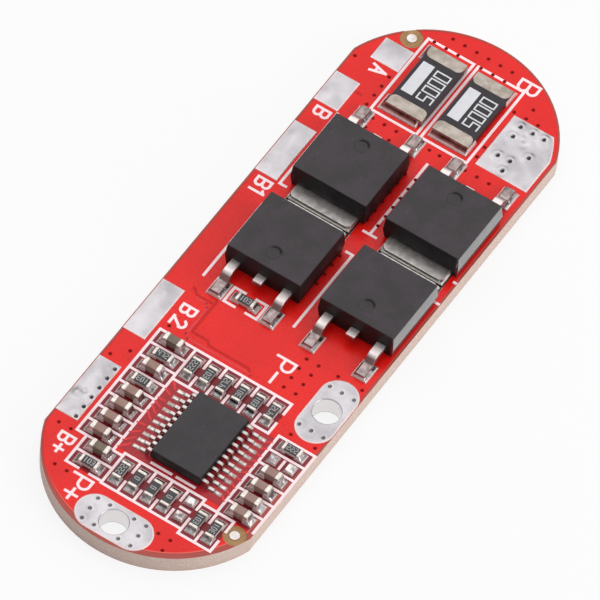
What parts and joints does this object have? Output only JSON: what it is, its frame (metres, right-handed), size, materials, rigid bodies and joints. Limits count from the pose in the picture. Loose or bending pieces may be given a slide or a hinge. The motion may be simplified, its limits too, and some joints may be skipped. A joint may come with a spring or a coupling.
{
  "type": "battery management board",
  "caption": "Round-ended red circuit board that balances and guards a cell pack, with controller, power transistors, shunts, wire lugs and solder pads on one side.",
  "frame": {"origin": "middle of the outline, on the board's underside", "axes": "+X along the board's length, from the pack-plus lug to the shunts; +Y across, towards the row of cell pads; +Z out of the component side"},
  "size_m": [0.054, 0.0182, 0.0039],
  "materials": {
    "laminate": "cut glass-fibre laminate, matt",
    "solder_mask": "glossy red film",
    "white_print": "matt white ink",
    "tinned_copper": "levelled tin, uneven, satin",
    "solder": "bright solder",
    "tinned_lead": "matt tin plate",
    "transistor_moulding": "matt moulded epoxy",
    "controller_moulding": "matt moulded epoxy",
    "shunt_coat": "smooth black coat over ceramic",
    "shunt_end_cap": "tinned nickel, satin",
    "capacitor_ceramic": "fired ceramic, brown",
    "resistor_coat": "black coat over ceramic",
    "chip_end_cap": "tinned, satin"
  },
  "bodies": {
    "root": {"board_laminate": "laminate", "solder_mask_top": "solder_mask", "solder_mask_bottom": "solder_mask", "legend_print": "white_print", "component_lands": "tinned_copper", "solder_fillets": "solder", "lug_p_plus": "tinned_copper", "lug_p_minus": "tinned_copper", "pad_b_plus": "tinned_copper", "pad_b2": "tinned_copper", "pad_b1": "tinned_copper", "pad_b": "tinned_copper", "pad_a": "tinned_copper", "pad_b_minus": "tinned_copper", "controller_body": "controller_moulding", "controller_leads": "tinned_lead", "transistor_1_body": "transistor_moulding", "transistor_1_drain_tab": "tinned_lead", "transistor_1_leads": "tinned_lead", "transistor_2_body": "transistor_moulding", "transistor_2_drain_tab": "tinned_lead", "transistor_2_leads": "tinned_lead", "transistor_3_body": "transistor_moulding", "transistor_3_drain_tab": "tinned_lead", "transistor_3_leads": "tinned_lead", "transistor_4_body": "transistor_moulding", "transistor_4_drain_tab": "tinned_lead", "transistor_4_leads": "tinned_lead", "shunt_1": "shunt_coat", "shunt_2": "shunt_coat", "shunt_terminals": "shunt_end_cap", "shunt_marks": "white_print", "zero_ohm_links": "resistor_coat", "capacitor_1": "capacitor_ceramic", "capacitor_2": "capacitor_ceramic", "capacitor_3": "capacitor_ceramic", "capacitor_4": "capacitor_ceramic", "capacitor_5": "capacitor_ceramic", "capacitor_6": "capacitor_ceramic", "capacitor_7": "capacitor_ceramic", "capacitor_8": "capacitor_ceramic", "capacitor_9": "capacitor_ceramic", "capacitor_10": "capacitor_ceramic", "capacitor_11": "capacitor_ceramic", "resistor_1": "resistor_coat", "resistor_2": "resistor_coat", "resistor_3": "resistor_coat", "resistor_4": "resistor_coat", "resistor_5": "resistor_coat", "resistor_6": "resistor_coat", "resistor_7": "resistor_coat", "resistor_8": "resistor_coat", "resistor_9": "resistor_coat", "resistor_10": "resistor_coat", "resistor_11": "resistor_coat", "resistor_12": "resistor_coat", "resistor_13": "resistor_coat", "resistor_14": "resistor_coat", "chip_terminals": "chip_end_cap"}
  },
  "joints": []
}
